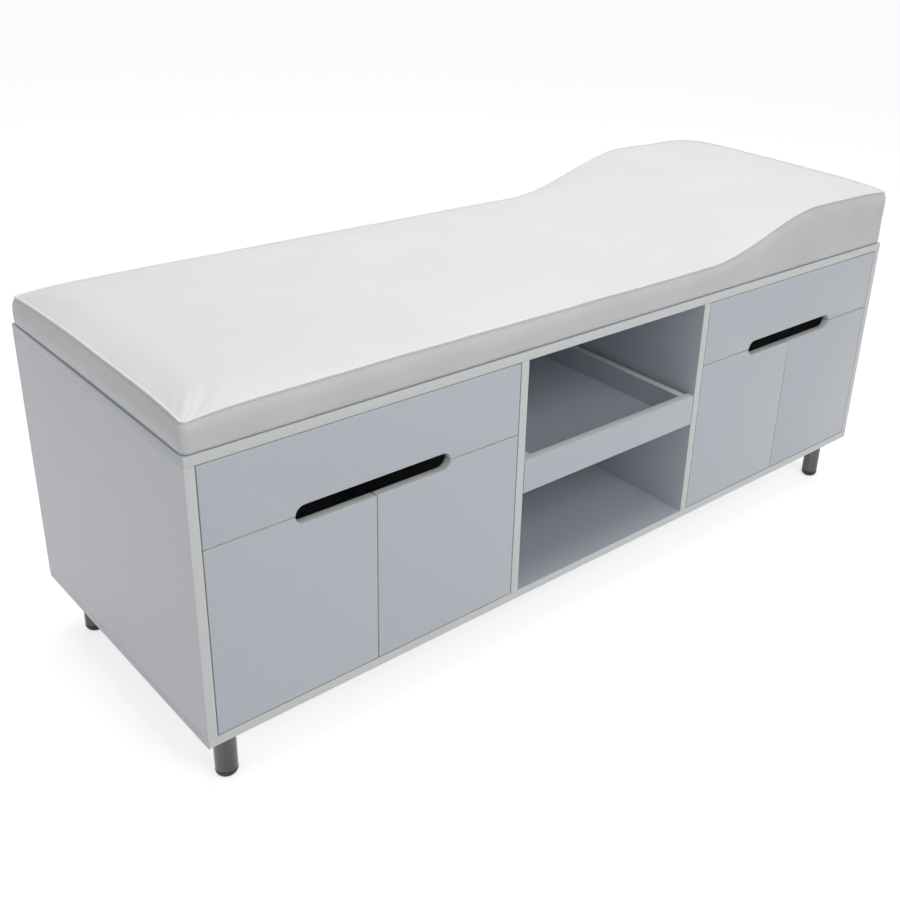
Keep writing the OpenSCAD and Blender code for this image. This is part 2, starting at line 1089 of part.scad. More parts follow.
// Faces of a stack of loops from index base on, closed by the ridge that starts at index top
function hill_faces(base, count, top) =
  let (
    last = base + (count - 1) * loop_n,
    half = loop_n / 2
  )
  concat(
    [
      for (j = [0 : count - 2], i = [0 : loop_n - 1])
        let (a = base + j * loop_n + i, b = base + j * loop_n + (i + 1) % loop_n)
        each wall_pair(a, b, a + loop_n, b + loop_n)
    ],
    [
      for (i = [0 : end_run - 1])
        each [
          [last + i, top, last + i + 1],
          [last + half + i, top + long_steps, last + half + i + 1]
        ]
    ],
    [
      for (k = [0 : long_steps - 1])
        let (a = end_run + k, f = half + end_run + k, r = long_steps - k)
        each concat(
          wall_pair(last + a, last + a + 1, top + k, top + k + 1),
          wall_pair(last + f, last + (f + 1) % loop_n, top + r, top + r - 1)
        )
    ]
  );

function flipped(faces) = [for (f = faces) [f[2], f[1], f[0]]];

// Plan of the board, drawn with true round corners
module pad_plan(inset) {
  r = pad_corner;
  l = body_l - 2 * inset;
  w = body_d - 2 * inset;
  square([l - 2 * r, w], center = true);
  square([l, w - 2 * r], center = true);
  for (sx = [-1, 1], sy = [-1, 1])
    translate([sx * (l / 2 - r), sy * (w / 2 - r)])
      circle(r = r);
}

module pad_board() {
  color(wood_colour)
    difference() {
      translate([0, 0, top_z])
        linear_extrude(pad_board_t)
          pad_plan(pad_inset);
      at_pad_screws()
        pad_screw_bore();
    }
}

module pad_foam() {
  foam_z = top_z + pad_board_t;
  foam_loops = core_loops(foam_z);
  floor_line = [for (x = ridge_x) [x, 0, foam_z]];
  floor_n = 2 * loop_n + long_steps + 1;
  color(foam_colour)
    polyhedron(
      points = concat(foam_loops[0], foam_loops[1], ridge_points(-cover_top_t), floor_line),
      faces = concat(hill_faces(0, 2, 2 * loop_n), flipped(hill_faces(0, 1, floor_n)))
    );
}

// The cover is open below, where the board closes it
module pad_cover() {
  hollow_loops = core_loops(top_z);
  outer_n = len(outer_loops);
  hollow = outer_n * loop_n + long_steps + 1;
  hem = [
    for (i = [0 : loop_n - 1])
      let (j = (i + 1) % loop_n)
      each [[i, j, hollow + j], [i, hollow + j, hollow + i]]
  ];
  color(cover_colour)
    polyhedron(
      points = concat(
        [for (l = outer_loops) each l],
        ridge_points(pad_crown),
        hollow_loops[0],
        hollow_loops[1],
        ridge_points(-cover_top_t)
      ),
      faces = concat(
        hem,
        hill_faces(0, outer_n, outer_n * loop_n),
        flipped(hill_faces(hollow, 2, hollow + 2 * loop_n))
      )
    );
}

module pad_screws() {
  color(screw_colour)
    at_pad_screws()
      pad_screw();
}

top_panel();
bottom_panel();
left_side_panel();
right_side_panel();
left_divider();
right_divider();
back_panel();
edge_bands();
cabinet_screws();
slide_outer_members();
hinge_plates();
hinge_screws();
hinge_arms();
leg_plates();
leg_screws();
leg_tubes();
leg_plugs();
pad_board();
pad_foam();
pad_cover();
pad_screws();
left_drawer_front();
left_drawer_sides();
left_drawer_ends();
left_drawer_bottom();
left_drawer_slide_inners();
left_drawer_screws();
left_drawer_slide_middles();
right_drawer_front();
right_drawer_sides();
right_drawer_ends();
right_drawer_bottom();
right_drawer_slide_inners();
right_drawer_screws();
right_drawer_slide_middles();
tray_front();
tray_sides();
tray_back();
tray_bottom();
tray_slide_inners();
tray_dowels();
tray_slide_middles();
left_outer_door();
left_inner_door();
right_inner_door();
right_outer_door();
left_outer_hinge_cups();
left_inner_hinge_cups();
right_inner_hinge_cups();
right_outer_hinge_cups();
left_outer_hinge_links();
left_inner_hinge_links();
right_inner_hinge_links();
right_outer_hinge_links();
front_left_foot();
front_right_foot();
back_left_foot();
back_right_foot();
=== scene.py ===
import math

import bpy
import numpy as np
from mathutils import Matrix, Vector, noise


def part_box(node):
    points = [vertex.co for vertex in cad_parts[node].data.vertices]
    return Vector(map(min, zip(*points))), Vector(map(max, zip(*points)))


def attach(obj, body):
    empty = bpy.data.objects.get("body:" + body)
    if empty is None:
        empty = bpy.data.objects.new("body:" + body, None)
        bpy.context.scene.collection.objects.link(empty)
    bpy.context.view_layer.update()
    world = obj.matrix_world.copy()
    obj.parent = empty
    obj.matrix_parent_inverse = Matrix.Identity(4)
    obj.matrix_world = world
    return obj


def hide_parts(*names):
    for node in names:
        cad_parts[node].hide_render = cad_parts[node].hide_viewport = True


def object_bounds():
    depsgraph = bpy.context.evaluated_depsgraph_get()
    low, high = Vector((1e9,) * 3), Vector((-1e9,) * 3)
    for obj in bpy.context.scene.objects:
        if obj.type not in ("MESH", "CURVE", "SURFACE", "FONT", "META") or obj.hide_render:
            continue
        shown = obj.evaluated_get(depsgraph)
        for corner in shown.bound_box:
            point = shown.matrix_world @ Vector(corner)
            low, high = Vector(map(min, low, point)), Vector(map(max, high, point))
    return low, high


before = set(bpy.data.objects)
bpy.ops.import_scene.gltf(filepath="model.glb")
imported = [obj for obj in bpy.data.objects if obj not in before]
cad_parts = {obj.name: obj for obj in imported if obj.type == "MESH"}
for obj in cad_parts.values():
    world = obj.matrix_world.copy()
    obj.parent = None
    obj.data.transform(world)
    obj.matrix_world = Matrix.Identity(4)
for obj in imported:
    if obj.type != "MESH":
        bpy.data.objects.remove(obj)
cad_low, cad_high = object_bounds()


# The camera stands in front of the foot end, above the pad, and looks down along the bed.
# Its lens and its small shift are those of the photograph's own view.
camera_lens = 45.36
camera_shift = (-0.119, -0.058)
bpy.ops.object.camera_add(
    location=(-1.556, -1.694, 1.460),
    rotation=(math.radians(64.79), math.radians(-3.40), math.radians(-43.58)),
)
camera = bpy.context.object
camera.name = "camera"
camera.data.sensor_width = 36
camera.data.lens = camera_lens
camera.data.shift_x, camera.data.shift_y = camera_shift
bpy.context.scene.camera = camera


# The cabinet's boards: particle board with a white melamine film, smooth and half glossy, with a faint
# pearl. Top and bottom run the full length, the uprights stand between them, and screws hold them.
board_white = (0.62, 0.645, 0.70)
board_shade = (0.582, 0.607, 0.665)
band_white = (0.77, 0.795, 0.785)
board_gloss = 0.32
board_peel = 0.000007
board_ior = 1.5


def new_group(name, inputs, outputs):
    """An empty shader node group with its sockets, and its input and output nodes."""
    group = bpy.data.node_groups.new(name, "ShaderNodeTree")
    for label, kind, value in inputs:
        socket = group.interface.new_socket(label, in_out="INPUT", socket_type=kind)
        socket.default_value = value
    for label, kind in outputs:
        group.interface.new_socket(label, in_out="OUTPUT", socket_type=kind)
    return group, group.nodes.new("NodeGroupInput"), group.nodes.new("NodeGroupOutput")


def noise_node(tree, vector, scale, detail, rough=0.5):
    """A noise texture on a vector socket, at a scale in features to the metre."""
    made = tree.nodes.new("ShaderNodeTexNoise")
    made.inputs["Scale"].default_value = scale
    made.inputs["Detail"].default_value = detail
    made.inputs["Roughness"].default_value = rough
    tree.links.new(vector, made.inputs["Vector"])
    return made


def spread(tree, value, given, wanted):
    """A socket's values, spread from one range (low, high) over another and held to it."""
    made = tree.nodes.new("ShaderNodeMapRange")
    made.inputs["From Min"].default_value, made.inputs["From Max"].default_value = given
    made.inputs["To Min"].default_value, made.inputs["To Max"].default_value = wanted
    tree.links.new(value, made.inputs["Value"])
    return made.outputs["Result"]


def blend_colour(tree, share, first, second):
    """A mix of two colours by a share. Each colour is a socket, or a plain colour."""
    made = tree.nodes.new("ShaderNodeMix")
    made.data_type = "RGBA"
    for place, colour in (("A", first), ("B", second)):
        socket = [s for s in made.inputs if s.name == place and s.type == "RGBA"][0]
        if isinstance(colour, tuple):
            socket.default_value = (*colour, 1)
        else:
            tree.links.new(colour, socket)
    factor = [s for s in made.inputs if s.name == "Factor" and s.type == "VALUE"][0]
    tree.links.new(share, factor)
    return [s for s in made.outputs if s.type == "RGBA"][0]


def maths(tree, operation, first, second):
    """One Math node on two sockets or plain numbers."""
    made = tree.nodes.new("ShaderNodeMath")
    made.operation = operation
    for k, value in enumerate((first, second)):
        if isinstance(value, (int, float)):
            made.inputs[k].default_value = value
        else:
            tree.links.new(value, made.inputs[k])
    return made.outputs[0]


# A melamine film: clouds too faint to name, a fine pearl, and the slight peel that a press plate leaves
film, film_in, film_out = new_group(
    "melamine_film",
    [("Vector", "NodeSocketVector", (0, 0, 0)), ("Colour", "NodeSocketColor", (1, 1, 1, 1)),
     ("Shade", "NodeSocketColor", (1, 1, 1, 1)), ("Gloss", "NodeSocketFloat", 0.3)],
    [("Colour", "NodeSocketColor"), ("Roughness", "NodeSocketFloat"), ("Height", "NodeSocketFloat")],
)
film_clouds = noise_node(film, film_in.outputs["Vector"], scale=240, detail=3)
film_pearl = noise_node(film, film_in.outputs["Vector"], scale=620, detail=2, rough=0.7)
film_peel = noise_node(film, film_in.outputs["Vector"], scale=420, detail=2)
film_rub = noise_node(film, film_in.outputs["Vector"], scale=22, detail=5, rough=0.6)
film_mix = maths(
    film, "ADD",
    spread(film, film_clouds.outputs["Fac"], (0.35, 0.65), (0.0, 0.2)),
    spread(film, film_pearl.outputs["Fac"], (0.35, 0.65), (0.0, 0.8)),
)
film.links.new(
    blend_colour(film, film_mix, film_in.outputs["Colour"], film_in.outputs["Shade"]),
    film_out.inputs["Colour"],
)
film.links.new(
    maths(
        film, "ADD", film_in.outputs["Gloss"],
        spread(film, film_rub.outputs["Fac"], (0.4, 0.7), (-0.015, 0.03)),
    ),
    film_out.inputs["Roughness"],
)
film.links.new(
    maths(film, "ADD", film_peel.outputs["Fac"], maths(film, "MULTIPLY", film_pearl.outputs["Fac"], 0.3)),
    film_out.inputs["Height"],
)

# A share that is 1 where a surface doesn't face along the board's own axis, so at its banded edges
edge, edge_in, edge_out = new_group(
    "board_edge", [("Axis", "NodeSocketVector", (0, 0, 1))], [("Share", "NodeSocketFloat")]
)
edge_normal = edge.nodes.new("ShaderNodeTexCoord")
edge_dot = edge.nodes.new("ShaderNodeVectorMath")
edge_dot.operation = "DOT_PRODUCT"
edge.links.new(edge_normal.outputs["Normal"], edge_dot.inputs[0])
edge.links.new(edge_in.outputs["Axis"], edge_dot.inputs[1])
edge.links.new(
    spread(edge, maths(edge, "ABSOLUTE", edge_dot.outputs["Value"], 0.0), (0.6, 0.9), (1.0, 0.0)),
    edge_out.inputs["Share"],
)


def start_material(name):
    """A new node material, with its tree, its shader and its object coordinates."""
    made = bpy.data.materials.new(name)
    made.use_nodes = True
    tree = made.node_tree
    where = tree.nodes.new("ShaderNodeTexCoord").outputs["Object"]
    return made, tree, tree.nodes["Principled BSDF"], where


def add_group(tree, group, where=None, **values):
    """Places a node group in a material and sets its inputs, whose names have their spaces as _."""
    made = tree.nodes.new("ShaderNodeGroup")
    made.node_tree = group
    if where is not None:
        tree.links.new(where, made.inputs["Vector"])
    for name, value in values.items():
        made.inputs[name.replace("_", " ")].default_value = value
    return made


def add_bump(tree, shader, height, depth, strength=1.0):
    """A bump whose height of 1 stands for a depth in metres."""
    made = tree.nodes.new("ShaderNodeBump")
    made.inputs["Distance"].default_value = depth
    made.inputs["Strength"].default_value = strength
    tree.links.new(height, made.inputs["Height"])
    tree.links.new(made.outputs["Normal"], shader.inputs["Normal"])


def wear_coat(tree, shader, coat, depth, colour=None):
    """Joins a group's colour (or another), roughness and height to a shader. The depth is in metres."""
    if colour is None:
        colour = coat.outputs["Colour"]
    tree.links.new(colour, shader.inputs["Base Color"])
    tree.links.new(coat.outputs["Roughness"], shader.inputs["Roughness"])
    add_bump(tree, shader, coat.outputs["Height"], depth)


def coated_board(name, axis):
    """White coated board whose faces look along an axis and whose edges are banded."""
    made, tree, shader, where = start_material(name)
    face = add_group(
        tree, film, where, Colour=(*board_white, 1), Shade=(*board_shade, 1), Gloss=board_gloss
    )
    rim = add_group(tree, edge, Axis=axis)
    banded = blend_colour(tree, rim.outputs["Share"], face.outputs["Colour"], band_white)
    wear_coat(tree, shader, face, board_peel, banded)
    shader.inputs["IOR"].default_value = board_ior
    return made


def finish_node(node, material):
    """Gives a CAD node one material all over."""
    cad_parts[node].data.materials.clear()
    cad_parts[node].data.materials.append(material)


level_board = coated_board("level_board", (0, 0, 1))
upright_board = coated_board("upright_board", (1, 0, 0))
front_board = coated_board("front_board", (0, 1, 0))
for node in ("top_panel", "bottom_panel"):
    finish_node(node, level_board)
for node in ("left_side_panel", "right_side_panel", "left_divider", "right_divider"):
    finish_node(node, upright_board)


# The back panel: an 8 mm white-coated fibreboard that slides into grooves before the cabinet is closed.
# Its coat is duller than the boards' film.
sheet_white = (0.66, 0.67, 0.69)
sheet_shade = (0.60, 0.61, 0.63)
sheet_gloss = 0.42
sheet_peel = 0.00006
back_sheet, tree, shader, where = start_material("back_sheet")
sheet_film = add_group(
    tree, film, where, Colour=(*sheet_white, 1), Shade=(*sheet_shade, 1), Gloss=sheet_gloss
)
wear_coat(tree, shader, sheet_film, sheet_peel)
finish_node("back_panel", back_sheet)


# Edge bands: strips of pale plastic glued to the boards' edges and trimmed, so that their outer corners are
# softly rounded. On the front they are a little lighter than the boards, on the ends they match them.
band_shade = (0.72, 0.745, 0.735)
band_gloss = 0.38
band_peel = 0.00003
band_round = 0.0006  # radius of the trimmed corners
board_round = 0.0007  # the same on doors, fronts and tray boards
merge_reach = 0.00001
flat_turn = math.radians(0.5)
sharp_turn = math.radians(35)
smooth_turn = math.radians(30)
short_edge = 0.0012  # edges up to this length are the facets of round corners
touch = 0.0001  # points this near a plane lie in it
edge_band, tree, shader, where = start_material("edge_band")
band_film = add_group(
    tree, film, where, Colour=(*band_white, 1), Shade=(*band_shade, 1), Gloss=band_gloss
)
end_film = add_group(
    tree, film, where, Colour=(*board_white, 1), Shade=(*board_shade, 1), Gloss=band_gloss
)
end_share = add_group(tree, edge, Axis=(0, 1, 0))
band_colour = blend_colour(
    tree, end_share.outputs["Share"], band_film.outputs["Colour"], end_film.outputs["Colour"]
)
wear_coat(tree, shader, band_film, band_peel, band_colour)


def take(piece):
    """Makes an object the active one and the only one selected."""
    bpy.ops.object.select_all(action="DESELECT")
    piece.select_set(True)
    bpy.context.view_layer.objects.active = piece


def merged_copy(node, name):
    """A copy of a CAD node's mesh as a new piece, its loose triangles merged and its flat faces joined."""
    piece = bpy.data.objects.new(name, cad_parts[node].data.copy())
    bpy.context.scene.collection.objects.link(piece)
    take(piece)
    bpy.ops.object.mode_set(mode="EDIT")
    bpy.ops.mesh.select_all(action="SELECT")
    bpy.ops.mesh.remove_doubles(threshold=merge_reach)
    bpy.ops.mesh.dissolve_limited(angle_limit=flat_turn)
    bpy.ops.mesh.normals_make_consistent(inside=False)
    bpy.ops.object.mode_set(mode="OBJECT")
    return piece


def round_edges(piece, width, wanted=lambda p: True):
    """Rounds the active piece's sharp edges of which both ends are wanted, but not the short ones."""
    mesh = piece.data
    normals = {}
    for face in mesh.polygons:
        for key in face.edge_keys:
            normals.setdefault(key, []).append(face.normal.copy())
    bpy.ops.object.mode_set(mode="EDIT")
    bpy.ops.mesh.select_mode(type="EDGE")
    bpy.ops.mesh.select_all(action="DESELECT")
    bpy.ops.object.mode_set(mode="OBJECT")
    for line in mesh.edges:
        ends = [mesh.vertices[k].co for k in line.vertices]
        sides = normals.get(tuple(sorted(line.vertices)), [])
        sharp = len(sides) == 2 and sides[0].angle(sides[1], 0) > sharp_turn
        line.select = sharp and (ends[0] - ends[1]).length > short_edge and all(wanted(p) for p in ends)
    bpy.ops.object.mode_set(mode="EDIT")
    bpy.ops.mesh.bevel(offset=width, segments=3, profile=0.5, clamp_overlap=False)
    bpy.ops.object.mode_set(mode="OBJECT")
    bpy.ops.object.shade_smooth_by_angle(angle=smooth_turn)


def place(piece, node, body, material, slot):
    """The piece takes a CAD node's place on a body, with a material. The slot is not used."""
    piece.data.materials.clear()
    piece.data.materials.append(material)
    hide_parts(node)
    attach(piece, body)


front_plane = cad_low.y
end_plane = cad_high.x
bands = merged_copy("edge_bands", "band_strips")
round_edges(
    bands, band_round, lambda p: abs(p.y - front_plane) < touch or abs(abs(p.x) - end_plane) < touch
)
place(bands, "edge_bands", "cabinet", edge_band, "edge_band")


# Screws: zinc-plated steel with a yellowish passivation, driven flush into the boards.
# A turning tool has left fine rings on their heads.
metal, metal_in, metal_out = new_group(
    "plated_metal",
    [("Vector", "NodeSocketVector", (0, 0, 0)), ("Colour", "NodeSocketColor", (1, 1, 1, 1)),
     ("Dull", "NodeSocketColor", (1, 1, 1, 1)), ("Grain", "NodeSocketFloat", 400.0),
     ("Gloss", "NodeSocketFloat", 0.3)],
    [("Colour", "NodeSocketColor"), ("Roughness", "NodeSocketFloat"), ("Height", "NodeSocketFloat")],
)
metal_cloud = noise_node(metal, metal_in.outputs["Vector"], scale=60, detail=4, rough=0.6)
metal_grain = noise_node(metal, metal_in.outputs["Vector"], scale=400, detail=2)
metal.links.new(metal_in.outputs["Grain"], metal_grain.inputs["Scale"])
metal.links.new(
    blend_colour(
        metal, spread(metal, metal_cloud.outputs["Fac"], (0.35, 0.7), (0.0, 1.0)),
        metal_in.outputs["Colour"], metal_in.outputs["Dull"],
    ),
    metal_out.inputs["Colour"],
)
metal.links.new(
    maths(
        metal, "ADD", metal_in.outputs["Gloss"],
        spread(metal, metal_cloud.outputs["Fac"], (0.35, 0.7), (-0.04, 0.1)),
    ),
    metal_out.inputs["Roughness"],
)
metal.links.new(metal_grain.outputs["Fac"], metal_out.inputs["Height"])


def plated(name, colour, dull, gloss, grain, depth, stretch=(1, 1, 1)):
    """A plated metal whose fine grain is stretched along the axes with a small factor."""
    made, tree, shader, where = start_material(name)
    turned = tree.nodes.new("ShaderNodeMapping")
    turned.inputs["Scale"].default_value = stretch
    tree.links.new(where, turned.inputs["Vector"])
    coat = add_group(
        tree, metal, turned.outputs["Vector"],
        Colour=(*colour, 1), Dull=(*dull, 1), Grain=grain, Gloss=gloss,
    )
    wear_coat(tree, shader, coat, depth)
    shader.inputs["Metallic"].default_value = 1.0
    return made


screw_steel = plated(
    "screw_steel", (0.72, 0.68, 0.56), (0.60, 0.58, 0.50), gloss=0.32, grain=1500.0, depth=0.00003
)
for node in ("cabinet_screws", "hinge_screws", "leg_screws", "pad_screws"):
    finish_node(node, screw_steel)


# Legs: polished steel tubes, each welded to a round plate under the bottom panel. A black moulded plug closes
# the tube, and a black foot with a rounded edge screws into it to level the bed.
# The legs' steel is given a very dark colour: a painted reflection of a dark room, which the white room
# doesn't give
leg_steel = plated(
    "leg_steel", (0.12, 0.12, 0.112), (0.075, 0.075, 0.07),
    gloss=0.10, grain=900.0, depth=0.000012, stretch=(1, 1, 0.03),
)
plate_steel = plated(
    "plate_steel", (0.60, 0.60, 0.60), (0.48, 0.48, 0.49), gloss=0.34, grain=1200.0, depth=0.00003
)
finish_node("leg_tubes", leg_steel)
finish_node("leg_plates", plate_steel)
foot_black = (0.012, 0.012, 0.013)
foot_rubbed = (0.03, 0.03, 0.032)
foot_grain_depth = 0.00005
foot_plastic, tree, shader, where = start_material("foot_plastic")
foot_grain = noise_node(tree, where, scale=1600, detail=2)
foot_scuff = noise_node(tree, where, scale=90, detail=5, rough=0.65)
foot_rub = spread(tree, foot_scuff.outputs["Fac"], (0.5, 0.75), (0.0, 1.0))
tree.links.new(blend_colour(tree, foot_rub, foot_black, foot_rubbed), shader.inputs["Base Color"])
tree.links.new(spread(tree, foot_scuff.outputs["Fac"], (0.4, 0.75), (0.34, 0.55)), shader.inputs["Roughness"])
add_bump(tree, shader, foot_grain.outputs["Fac"], foot_grain_depth)
finish_node("leg_plugs", foot_plastic)
for corner in ("front_left", "front_right", "back_left", "back_right"):
    finish_node(corner + "_foot", foot_plastic)


# Slides: rolled channels of bright zinc-plated steel, three to a slide, that run in each other on balls.
# The rolling leaves its grain along their length.
slide_steel = plated(
    "slide_steel", (0.66, 0.67, 0.68), (0.52, 0.53, 0.55),
    gloss=0.26, grain=700.0, depth=0.00002, stretch=(1, 0.04, 1),
)
finish_node("slide_outer_members", slide_steel)
for runner in ("left_drawer", "right_drawer", "tray"):
    finish_node(runner + "_slide_inners", slide_steel)
    finish_node(runner + "_slide_middles", slide_steel)


# Drawers: a box of 15 mm coated board with a thin bottom sheet in its grooves, and an 18 mm front screwed to
# it. The upper half of the finger slot is milled in the front's lower edge, and all its edges are banded.
for side in ("left", "right"):
    drawer = side + "_drawer"
    front = merged_copy(drawer + "_front", drawer + "_front_banded")
    round_edges(front, board_round)
    place(front, drawer + "_front", drawer, front_board, "coated_board")
    finish_node(drawer + "_sides", upright_board)
    finish_node(drawer + "_ends", front_board)
    finish_node(drawer + "_bottom", back_sheet)
    finish_node(drawer + "_screws", screw_steel)


# Tray: four boards round a bottom, with the front doweled to the sides. Its upper edges are banded and
# show from above as pale strips.
tray_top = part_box("tray_front")[1].z
for part, material in (
    ("tray_front", front_board), ("tray_sides", upright_board), ("tray_back", front_board)
):
    board = merged_copy(part, part + "_banded")
    if part == "tray_front":
        round_edges(board, board_round)
    else:
        round_edges(board, board_round, lambda p: abs(p.z - tray_top) < touch)
    place(board, part, "tray", material, "coated_board")
finish_node("tray_bottom", level_board)
wood_roughness = 0.7
wood_grain_depth = 0.0001
timber, timber_in, timber_out = new_group(
    "timber",
    [("Vector", "NodeSocketVector", (0, 0, 0)), ("Early", "NodeSocketColor", (1, 1, 1, 1)),
     ("Late", "NodeSocketColor", (0, 0, 0, 1))],
    [("Colour", "NodeSocketColor"), ("Height", "NodeSocketFloat")],
)
timber_rings = noise_node(timber, timber_in.outputs["Vector"], scale=90, detail=4, rough=0.6)
timber.links.new(
    blend_colour(
        timber, spread(timber, timber_rings.outputs["Fac"], (0.35, 0.65), (0.0, 1.0)),
        timber_in.outputs["Early"], timber_in.outputs["Late"],
    ),
    timber_out.inputs["Colour"],
)
timber.links.new(timber_rings.outputs["Fac"], timber_out.inputs["Height"])


def bare_wood(name, early, late, stretch):
    """Bare wood with its grain along the axis that has a small factor."""
    made, tree, shader, where = start_material(name)
    turned = tree.nodes.new("ShaderNodeMapping")
    turned.inputs["Scale"].default_value = stretch
    tree.links.new(where, turned.inputs["Vector"])
    grain = add_group(tree, timber, turned.outputs["Vector"], Early=(*early, 1), Late=(*late, 1))
    tree.links.new(grain.outputs["Colour"], shader.inputs["Base Color"])
    shader.inputs["Roughness"].default_value = wood_roughness
    add_bump(tree, shader, grain.outputs["Height"], wood_grain_depth)
    return made


dowel_wood = bare_wood("dowel_wood", (0.76, 0.62, 0.42), (0.66, 0.50, 0.31), stretch=(3, 0.3, 3))
finish_node("tray_dowels", dowel_wood)


# Concealed hinges: nickel-plated cups pressed into the doors, links and cranked arms of the same steel, and
# mounting plates screwed to the boards that the doors hang on.
hinge_steel = plated(
    "hinge_steel", (0.70, 0.69, 0.67), (0.60, 0.59, 0.57), gloss=0.22, grain=1400.0, depth=0.00002
)
finish_node("hinge_plates", hinge_steel)
finish_node("hinge_arms", hinge_steel)


# Doors: 18 mm coated board, banded all round, each with a quarter of the finger slot milled in its corner.
# Each hangs on two hinges.
for door in ("left_outer", "left_inner", "right_inner", "right_outer"):
    leaf = merged_copy(door + "_door", door + "_door_banded")
    round_edges(leaf, board_round)
    place(leaf, door + "_door", door + "_door", front_board, "coated_board")
    finish_node(door + "_hinge_cups", hinge_steel)
    finish_node(door + "_hinge_links", hinge_steel)


# Pad: a plywood board and a foam core in a cover of white leathercloth. The cover is sewn from a top sheet
# and a side strip, which meet in a seam round the upper edge, and it is drawn in under the board's edge.
plywood = bare_wood("plywood", (0.72, 0.58, 0.40), (0.62, 0.47, 0.30), stretch=(0.2, 3, 3))
finish_node("pad_board", plywood)
pad_low, pad_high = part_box("pad_cover")
pad_half_l, pad_half_d = pad_high.x, pad_high.y
hem_lift = 0.0014
pad_floor = pad_low.z + hem_lift
seam_foot_h = 0.057  # seam over the pad's floor at the foot end
seam_rise_h = 0.077  # and how much more at the head end
head_l = 0.66  # from the head end to where the rise begins
rise_from_x = pad_half_l - head_l
rise_run = 0.37
seam_inset = 0.0092  # from the box of the CAD cover
corner_r = 0.004
shoulder_h = 0.022  # height of the rounded shoulder under the seam
corner_droop, droop_reach = 0.009, 0.07  # the seam hangs a little at the corners
crown_least, crown_rise, crown_reach = 0.001, 0.011, 0.016  # the top sheet stands above its seam
side_pull = 0.0016  # each side is drawn in at its middle
waver_depth, waver_scale, waver_level = 0.0012, 9, 3.7
seam_reach = 0.004
swell_top, swell_side = 0.0052, 0.0024  # the most that the cloth moves
swell_frames = 20
fold_side, fold_top, fold_reach = 0.0012, 0.0006, 0.04
pucker_depth = 0.0004
cells_long, cells_across = 230, 80
edge_crowding = 0.75  # 0 leaves the cells even, and near 1 the outermost close up
tiny = 1e-9
in_line = 1e-6


def seam_height(x):
    """Height of the seam over the pad's floor, along the bed."""
    t = np.clip((np.asarray(x) - rise_from_x) / rise_run, 0, 1)
    return seam_foot_h + seam_rise_h * t * t * (3 - 2 * t)


def read_points(mesh):
    """A mesh's points, one to a row."""
    points = np.empty(len(mesh.vertices) * 3)
    mesh.vertices.foreach_get("co", points)
    return points.reshape(-1, 3)


def write_points(mesh, points):
    """Moves a mesh's points to new places."""
    mesh.vertices.foreach_set("co", points.ravel())
    mesh.update()


def soft_noise(points, scale, seed):
    """A slow wave from -1 to 1 at each point, the same on every run."""
    return np.array([noise.noise(Vector(p) * scale + Vector((seed, 0, 0))) for p in points])


# The side strip, row by row below the seam: how far it stands out from the seam, how far it has fallen on
# the rounded shoulder, and its share of the height under the shoulder
side_rows = [
    (0.0022, 0.0018, 1.0), (0.0048, 0.0052, 1.0), (0.0067, 0.0100, 1.0), (0.0079, 0.0160, 1.0),
    (0.0085, shoulder_h, 1.0), (0.0088, shoulder_h, 0.74), (0.0088, shoulder_h, 0.50),
    (0.0084, shoulder_h, 0.27), (0.0078, shoulder_h, 0.09), (0.0068, shoulder_h, 0.0),
]
bpy.ops.object.select_all(action="DESELECT")
bpy.ops.mesh.primitive_grid_add(x_subdivisions=cells_long, y_subdivisions=cells_across, size=2)
pad = bpy.context.object
pad.name = "pad"
pad.data.name = "pad"
bpy.ops.object.mode_set(mode="EDIT")
bpy.ops.mesh.select_mode(type="EDGE")
bpy.ops.mesh.select_all(action="DESELECT")
bpy.ops.mesh.select_non_manifold(extend=False)
for _ in side_rows:
    bpy.ops.mesh.extrude_region_move(TRANSFORM_OT_translate={"value": (0, 0, -1)})
bpy.ops.object.mode_set(mode="OBJECT")

# From the plain grid to the pad: denser cells near the seam, round corners, rows drawn down the side
points = read_points(pad.data)
row_of = np.rint(-points[:, 2]).astype(int)
hx, hy = pad_half_l - seam_inset, pad_half_d - seam_inset
plan = np.empty((len(points), 2))
plan[:, 0] = hx * (points[:, 0] + edge_crowding * np.sin(math.pi * points[:, 0]) / math.pi)
plan[:, 1] = hy * (points[:, 1] + edge_crowding * np.sin(math.pi * points[:, 1]) / math.pi)
core = np.array([hx - corner_r, hy - corner_r])
over = np.clip(np.abs(plan) - core, 0, None)
in_corner = (over > 0).all(axis=1)
longer, shorter = over.max(axis=1), over.min(axis=1)
turn = math.pi / 4 * shorter / np.maximum(longer, tiny)
rounded = np.where(
    (over[:, 0] >= over[:, 1])[:, None],
    np.column_stack([longer * np.cos(turn), longer * np.sin(turn)]),
    np.column_stack([longer * np.sin(turn), longer * np.cos(turn)]),
)
plan[in_corner] = (np.sign(plan) * (core + rounded))[in_corner]
outward = plan - np.clip(plan, -core, core)
outward /= np.maximum(np.linalg.norm(outward, axis=1), tiny)[:, None]
row_out, row_fall, row_share = np.array([(0.0, 0.0, 1.0)] + side_rows)[row_of].T
on_side = row_of > 0
from_edge = np.minimum(hx - np.abs(plan[:, 0]), hy - np.abs(plan[:, 1]))
along = np.minimum(np.abs(plan[:, 0]) / hx, np.abs(plan[:, 1]) / hy)
start = np.empty_like(points)
start[:, :2] = plan + outward * (row_out - side_pull * (1 - along**2))[:, None]
corner_far = np.hypot(hx - np.abs(plan[:, 0]), hy - np.abs(plan[:, 1]))
seam_h = seam_height(start[:, 0]) - corner_droop * np.exp(-corner_far / droop_reach)
start[:, 2] = pad_floor + row_share * (seam_h - shoulder_h) + shoulder_h - row_fall
height_share = (start[:, 2] - pad_floor) / seam_h

